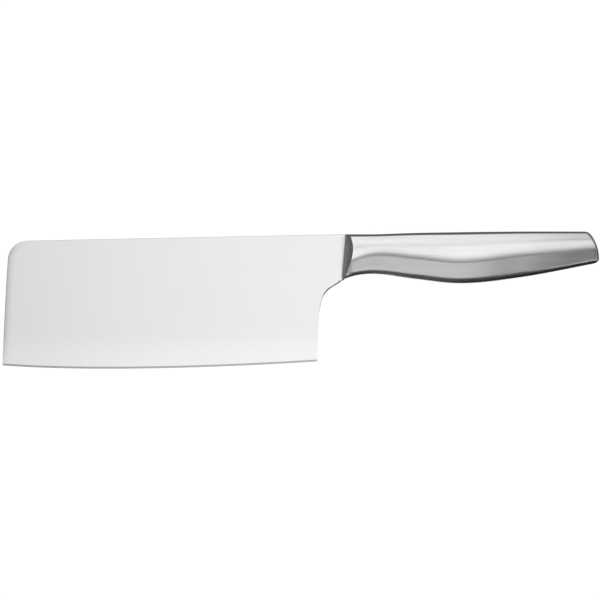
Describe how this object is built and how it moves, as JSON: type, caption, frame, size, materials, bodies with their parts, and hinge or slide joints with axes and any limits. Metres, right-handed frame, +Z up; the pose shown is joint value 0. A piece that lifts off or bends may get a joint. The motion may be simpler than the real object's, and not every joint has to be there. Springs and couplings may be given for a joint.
{
  "type": "kitchen cleaver",
  "caption": "All-steel kitchen cleaver: broad rectangular blade with a rounded front corner, sloping bolster and a hollow steel handle with an S-shaped crease, for chopping and slicing",
  "frame": {"origin": "under the middle of the knife's box, on the plane of the handle's lowest point as the knife lies on its right side", "axes": "+X along the knife from tip to butt, +Y from cutting edge to spine, +Z up, square to the flat sides of the blade"},
  "size_m": [0.3136, 0.0722, 0.0187],
  "materials": {
    "blade_steel": "fine satin, ground from spine to edge, with a bright sharpened bevel",
    "handle_steel": "smooth satin, brushed along the handle",
    "bolster_steel": "satin with diagonal strokes on the sloping front face",
    "pin_steel": "plain drawn dowel steel, hidden",
    "weight_steel": "raw cast, hidden inside the handle"
  },
  "bodies": {
    "root": {"blade": "blade_steel", "bolster": "bolster_steel", "tang_pin_front": "pin_steel", "tang_pin_rear": "pin_steel", "handle_shell_left": "handle_steel", "handle_shell_right": "handle_steel", "butt_cap": "handle_steel", "balance_weight": "weight_steel"}
  },
  "joints": []
}
